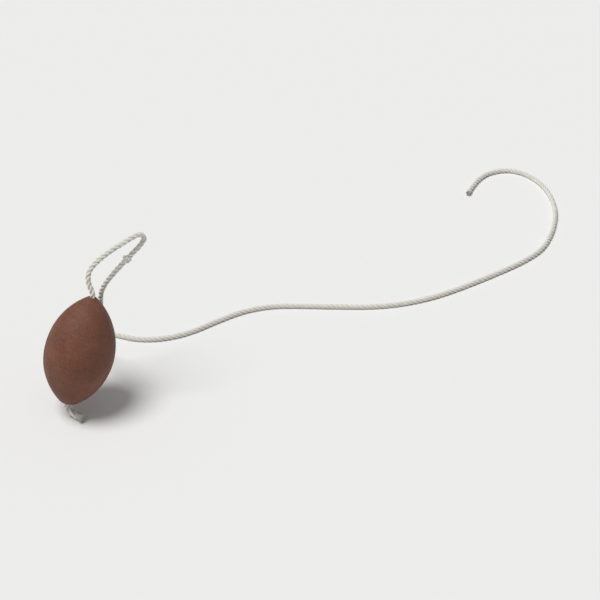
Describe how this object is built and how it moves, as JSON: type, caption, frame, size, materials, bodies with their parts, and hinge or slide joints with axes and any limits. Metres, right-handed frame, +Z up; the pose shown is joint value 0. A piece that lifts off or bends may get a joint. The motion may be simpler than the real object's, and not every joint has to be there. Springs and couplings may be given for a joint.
{
  "type": "toy rugby ball on a cord",
  "caption": "Small moulded brown rugby ball with pointed ends, threaded on a white twisted cotton cord with a loop above it and a long free end.",
  "frame": {"origin": "Centre of the circle on which the ball touches the round hole of the tee that holds it, on the ball's own axis", "axes": "+Z up. The ball stands tip down and its axis leans 24 degrees from +Z towards +Y. +X lies across the lean, to the right when looking along +Y."},
  "size_m": [0.1114, 0.2639, 0.0685],
  "materials": {
    "brown_skin": "matte, finely grained, moulded",
    "foam": "open-cell foam, matte",
    "cotton_cord": "soft twisted cotton, off-white",
    "frayed_cotton": "loose cotton fibres"
  },
  "bodies": {
    "cord": {"tether_cord": "cotton_cord", "stopper_knot": "cotton_cord", "loop_knot": "cotton_cord", "tail_fray": "frayed_cotton", "far_end_fray": "frayed_cotton"},
    "ball": {"outer_skin": "brown_skin", "foam_core": "foam"}
  },
  "joints": [
    {"name": "ball_spin", "type": "hinge", "parent": "cord", "child": "ball", "pos_m": [0, 0, 0], "axis": [0, 0.4067, 0.9135], "continuous": true}
  ]
}
